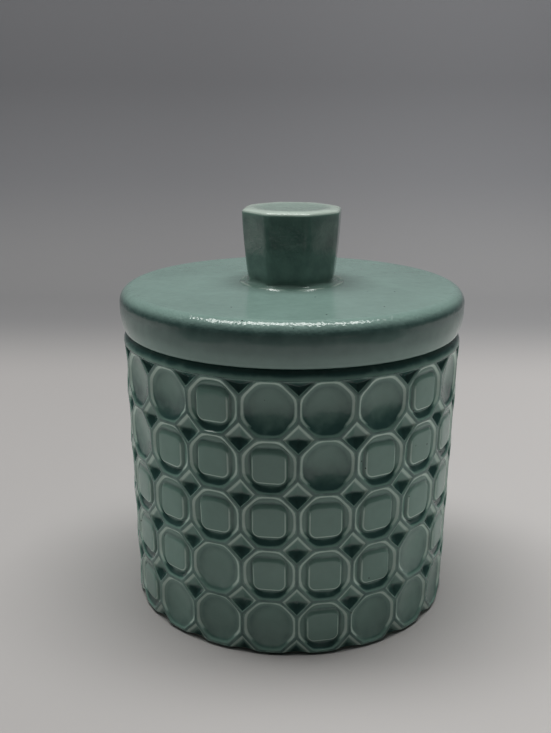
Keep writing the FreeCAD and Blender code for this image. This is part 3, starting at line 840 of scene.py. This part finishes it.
# Sizes of the glaze's patterns in millimetres
CLOUD_SIZE, MOTTLE_SIZE, FLOW_SIZE, PINHOLE_SPACING, RIPPLE_SIZE, SKIN_SIZE = 22, 2.6, 4.5, 7.0, 5.0, 0.9
# Height of the slow ripple in millimetres, and how many of its own heights the fine skin can gain
RIPPLE_HEIGHT, SKIN_GAIN = 0.09, 6.9
GLAZE_IOR, BARE_ROUGHNESS = 1.52, 0.85
BARE_CLAY, PINHOLE_BROWN = "#c9bfae", "#2f3a35"


def celadon_glaze(name, body_colour, thin_colour, pool_and_shade_colour, skin_height, patchy):
    """Celadon glaze over pale stoneware, dipped and fired glossy.

    Grey-green glass that runs off edges, where the pale clay shows through, and pools dark in hollows; its
    dark and pale also paint shade and reflection where the point values ask for it. The eye sees slow clouds
    of tone, fine mottling, a few pinholes, and highlights broken by a rippled skin.
    """
    material, tree = new_material(name)
    place = add_node(tree, "ShaderNodeTexCoord").outputs["Object"]
    clouds = add_node(tree, "ShaderNodeTexNoise", Vector=place, Scale=per_mm(CLOUD_SIZE),
                      Detail=3.0).outputs[0]
    mottle = add_node(tree, "ShaderNodeTexNoise", Vector=place, Scale=per_mm(MOTTLE_SIZE),
                      Detail=4.0).outputs[0]
    patches = add_node(tree, "ShaderNodeTexNoise", Vector=place, Scale=per_mm(FLOW_SIZE),
                       Detail=2.0).outputs[0]

    # How the glaze lies, with patchy edges: pooled glaze and painted shade from 0.05 to 0.95, thin from -0.15
    # to -0.95
    flow = add_node(tree, "ShaderNodeAttribute", {"attribute_name": "glaze_and_painted_shade"}).outputs["Fac"]
    uneven = add_node(tree, "ShaderNodeMapRange", Value=patches, **NOISE, To_Min=1 - patchy,
                      To_Max=1 + patchy).outputs[0]
    shifted = add_node(tree, "ShaderNodeMath", MULTIPLY, in0=flow, in1=uneven).outputs[0]
    pooled = add_node(tree, "ShaderNodeMapRange", SMOOTH, Value=shifted, From_Min=0.05, From_Max=0.95,
                      **ZERO_TO_ONE).outputs[0]
    thin = add_node(tree, "ShaderNodeMapRange", Value=flow, From_Min=-0.15, From_Max=-0.95,
                    **ZERO_TO_ONE).outputs[0]
    tone = add_node(tree, "ShaderNodeMapRange", Value=clouds, **NOISE, To_Min=0.92, To_Max=1.08).outputs[0]
    grain = add_node(tree, "ShaderNodeMapRange", Value=mottle, **NOISE, To_Min=0.97, To_Max=1.03).outputs[0]
    tone = add_node(tree, "ShaderNodeMath", MULTIPLY, in0=tone, in1=grain).outputs[0]
    colour = add_node(tree, "ShaderNodeMix", COLOURS, in0=pooled, in6=linear(body_colour),
                      in7=linear(pool_and_shade_colour)).outputs[2]
    colour = add_node(tree, "ShaderNodeMix", COLOURS, in0=thin, in6=colour,
                      in7=linear(thin_colour)).outputs[2]
    colour = add_node(tree, "ShaderNodeVectorMath", SCALE, in0=colour, Scale=tone).outputs[0]

    # Pinholes, by their distance from scattered points as a share of the spacing, and bare clay
    specks = add_node(tree, "ShaderNodeTexVoronoi", {"feature": "F1"}, Vector=place,
                      Scale=per_mm(PINHOLE_SPACING), Randomness=1.0).outputs["Distance"]
    pinhole = add_node(tree, "ShaderNodeMapRange", Value=specks, From_Min=0.025, From_Max=0.045, To_Min=1.0,
                       To_Max=0.0).outputs[0]
    colour = add_node(tree, "ShaderNodeMix", COLOURS, in0=pinhole, in6=colour,
                      in7=linear(PINHOLE_BROWN)).outputs[2]
    bare = add_node(tree, "ShaderNodeAttribute", {"attribute_name": "bare_clay"}).outputs["Fac"]
    colour = add_node(tree, "ShaderNodeMix", COLOURS, in0=bare, in6=colour,
                      in7=linear(BARE_CLAY)).outputs[2]

    # Gloss, and a skin that ripples slowly all over and finely where a point value asks for more
    gloss = add_node(tree, "ShaderNodeMapRange", Value=mottle, **NOISE, To_Min=0.12, To_Max=0.19).outputs[0]
    gloss = add_node(tree, "ShaderNodeMix", in0=bare, in2=gloss, in3=BARE_ROUGHNESS).outputs[0]
    ripple = add_node(tree, "ShaderNodeTexNoise", Vector=place, Scale=per_mm(RIPPLE_SIZE),
                      Detail=2.0).outputs[0]
    skin = add_node(tree, "ShaderNodeTexNoise", Vector=place, Scale=per_mm(SKIN_SIZE), Detail=1.0).outputs[0]
    more = add_node(tree, "ShaderNodeAttribute", {"attribute_name": "skin_ripple"}).outputs["Fac"]
    more = add_node(tree, "ShaderNodeMath", {"operation": "MULTIPLY_ADD"}, in0=more, in1=SKIN_GAIN,
                    in2=1.0).outputs[0]
    skin = add_node(tree, "ShaderNodeMath", MULTIPLY, in0=skin, in1=more).outputs[0]
    slow = add_node(tree, "ShaderNodeBump", Strength=1.0, Distance=RIPPLE_HEIGHT * MM,
                    Height=ripple).outputs[0]
    fine = add_node(tree, "ShaderNodeBump", Strength=1.0, Distance=skin_height * MM, Height=skin,
                    Normal=slow).outputs[0]
    shader = add_node(tree, "ShaderNodeBsdfPrincipled", Base_Color=colour, Roughness=gloss, IOR=GLAZE_IOR,
                      Normal=fine)
    add_node(tree, "ShaderNodeOutputMaterial", Surface=shader.outputs[0])
    return material


def studio_paper():
    """Matt pale paper of the floor and the sweep, with painted shade and light: darker away from the jar and
    up the sweep, and a little paler to the right.

    The distances that its tone changes over are in metres.
    """
    material, tree = new_material("matt_studio_paper")
    place = add_node(tree, "ShaderNodeTexCoord").outputs["Object"]
    split = add_node(tree, "ShaderNodeSeparateXYZ", Vector=place).outputs
    # Painted shade: darker away from the jar, and darker still up the sweep
    away = add_node(tree, "ShaderNodeMapRange", SMOOTH, Value=split[1], From_Min=0.21, From_Max=0.37,
                    **ZERO_TO_ONE).outputs[0]
    high = add_node(tree, "ShaderNodeMapRange", SMOOTH, Value=split[2], From_Min=0.0, From_Max=0.09,
                    **ZERO_TO_ONE).outputs[0]
    # Painted light: the paper is a little paler to the right
    right = add_node(tree, "ShaderNodeMapRange", SMOOTH, Value=split[0], From_Min=-0.12, From_Max=0.22,
                     To_Min=0.97, To_Max=1.26).outputs[0]
    colour = add_node(tree, "ShaderNodeMix", COLOURS, in0=high, in6=linear("#8a8a8c"),
                      in7=linear("#7b7c80")).outputs[2]
    colour = add_node(tree, "ShaderNodeMix", COLOURS, in0=away, in6=linear("#acaaaa"),
                      in7=colour).outputs[2]
    colour = add_node(tree, "ShaderNodeVectorMath", SCALE, in0=colour, Scale=right).outputs[0]
    shader = add_node(tree, "ShaderNodeBsdfPrincipled", Base_Color=colour, Roughness=0.75)
    add_node(tree, "ShaderNodeOutputMaterial", Surface=shader.outputs[0])
    return material


# Studio, in metres

def make_sweep():
    """Floor and backdrop as one sheet: flat, then a quarter circle up into an upright wall.

    Its front edge stands out in a tongue under the jar, y = edge - strip - tongue (1 - step(|x|)), and past
    it the dim room keeps the jar's front dark.
    """
    edge, strip, back, radius, top, half_width = -0.13, 0.002, 0.42, 0.16, 1.5, 1.6
    tongue, tongue_full, tongue_end, turn_steps, columns = 0.2, 0.18, 0.26, 24, 161
    line = rounded_outline([(edge, 0.0), (back + radius, 0.0), (back + radius, top)], [radius], turn_steps)
    side = np.linspace(-half_width, half_width, columns)
    points = np.stack(np.broadcast_arrays(side[:, None], line[:, 0], line[:, 1]), -1)
    front = edge - strip - tongue * (1 - smooth_step(tongue_full, tongue_end, np.abs(side)))
    points = np.concatenate([np.stack([side, front, 0 * side], -1)[:, None], points], 1)
    mesh = bpy.data.meshes.new("studio_sweep")
    mesh.from_pydata(points.reshape(-1, 3).tolist(), [],
                     strip_faces(len(side), points.shape[1], closed=False)[:, ::-1].tolist())
    mesh.shade_smooth()
    mesh.materials.append(studio_paper())
    sweep = bpy.data.objects.new("studio_sweep", mesh)
    bpy.context.scene.collection.objects.link(sweep)


LAMP_COLOUR = "#fffefb"
# A softbox above, a fill in front of it, cards on the floor that light upwards, and fills from the sides:
# name, place, target, size, watts, whether the camera sees it, and whether the glaze mirrors it
LAMPS = (
    ("overhead_softbox", (-0.045, 0.08, 0.95), (-0.045, 0.0, 0.05), (0.95, 0.28), 8.6, True, True),
    ("overhead_fill", (0.0, -0.16, 0.95), (0.0, -0.12, 0.05), (0.7, 0.16), 2.0, True, False),
    ("front_card", (0.0, -0.19, 0.003), (0.0, -0.19, 1.0), (0.4, 0.22), 0.03, False, True),
    ("left_card", (-0.19, 0.04, 0.003), (-0.19, 0.04, 1.0), (0.24, 0.32), 0.10, False, False),
    ("right_card", (0.19, 0.04, 0.003), (0.19, 0.04, 1.0), (0.24, 0.32), 0.14, False, False),
    ("left_fill", (-0.55, 0.08, 0.08), (0.0, 0.0, 0.08), (0.3, 0.14), 0.42, False, False),
    ("right_fill", (0.55, 0.08, 0.08), (0.0, 0.0, 0.08), (0.3, 0.14), 0.24, False, False),
)


def add_lamp(name, position, target, size, watts, shown, mirrored):
    """A soft rectangular lamp that faces a target."""
    data = bpy.data.lights.new(name, "AREA")
    data.shape = "RECTANGLE"
    data.size, data.size_y = size
    data.energy = watts
    data.color = linear(LAMP_COLOUR)[:3]
    lamp = bpy.data.objects.new(name, data)
    lamp.location = position
    lamp.rotation_euler = (Vector(target) - Vector(position)).to_track_quat("-Z", "Y").to_euler()
    lamp.visible_camera = shown
    lamp.visible_glossy = mirrored
    bpy.context.scene.collection.objects.link(lamp)


def set_world(colour, strength):
    """The dim, even light of the room all round."""
    world = bpy.data.worlds.new("dim_studio")
    bpy.context.scene.world = world
    world.use_nodes = True
    tree = world.node_tree
    tree.nodes.clear()
    light = add_node(tree, "ShaderNodeBackground", Color=linear(colour), Strength=strength)
    add_node(tree, "ShaderNodeOutputWorld", Surface=light.outputs[0])


def add_camera():
    """The photograph's viewpoint: over half a jar's height above the lid, looking down on it.

    From level and looking along +Y, the camera rolls, tips down and turns, in that order.
    """
    roll, tip, turn = math.radians(-0.085), math.radians(-16.281), math.radians(0.98)
    place = Vector((0, -0.28227, 0.152995))
    data = bpy.data.cameras.new("viewer")
    data.sensor_width = 36.0
    data.lens = 46.66
    camera = bpy.data.objects.new("viewer", data)
    facing = (Matrix.Rotation(turn, 3, "Z") @ Matrix.Rotation(tip, 3, "X") @ Matrix.Rotation(roll, 3, "Y")
              @ Matrix.Rotation(math.radians(90), 3, "X"))
    camera.matrix_world = Matrix.Translation(place) @ facing.to_4x4()
    bpy.context.scene.collection.objects.link(camera)
    bpy.context.scene.camera = camera


# Painted light and shade: the lid's copy of the glaze is paler than the jar's, and the knob's a little darker
jar_glaze = celadon_glaze("celadon_glaze_jar", body_colour="#6c8b81", thin_colour="#b4cabf",
                          pool_and_shade_colour="#35534f", skin_height=0.015, patchy=0.3)
lid_glaze = celadon_glaze("celadon_glaze_lid", body_colour="#77918a", thin_colour="#a9beb6",
                          pool_and_shade_colour="#284240", skin_height=0.02, patchy=0.08)
knob_glaze = celadon_glaze("celadon_glaze_knob", body_colour="#68837a", thin_colour="#adbbb2",
                           pool_and_shade_colour="#284240", skin_height=0.06, patchy=0.3)

make_piece("jar_relief_wall", jar_parts(), jar_glaze, "jar_body", "jar")
make_piece("lid_with_ring", lid_parts(), lid_glaze, "lid", "cover")
make_piece("faceted_knob", knob_parts(), knob_glaze, "knob", "cover")

make_sweep()
for lamp in LAMPS:
    add_lamp(*lamp)
set_world(colour="#c8ccd0", strength=0.035)
add_camera()
bpy.context.scene.view_settings.view_transform = "Standard"
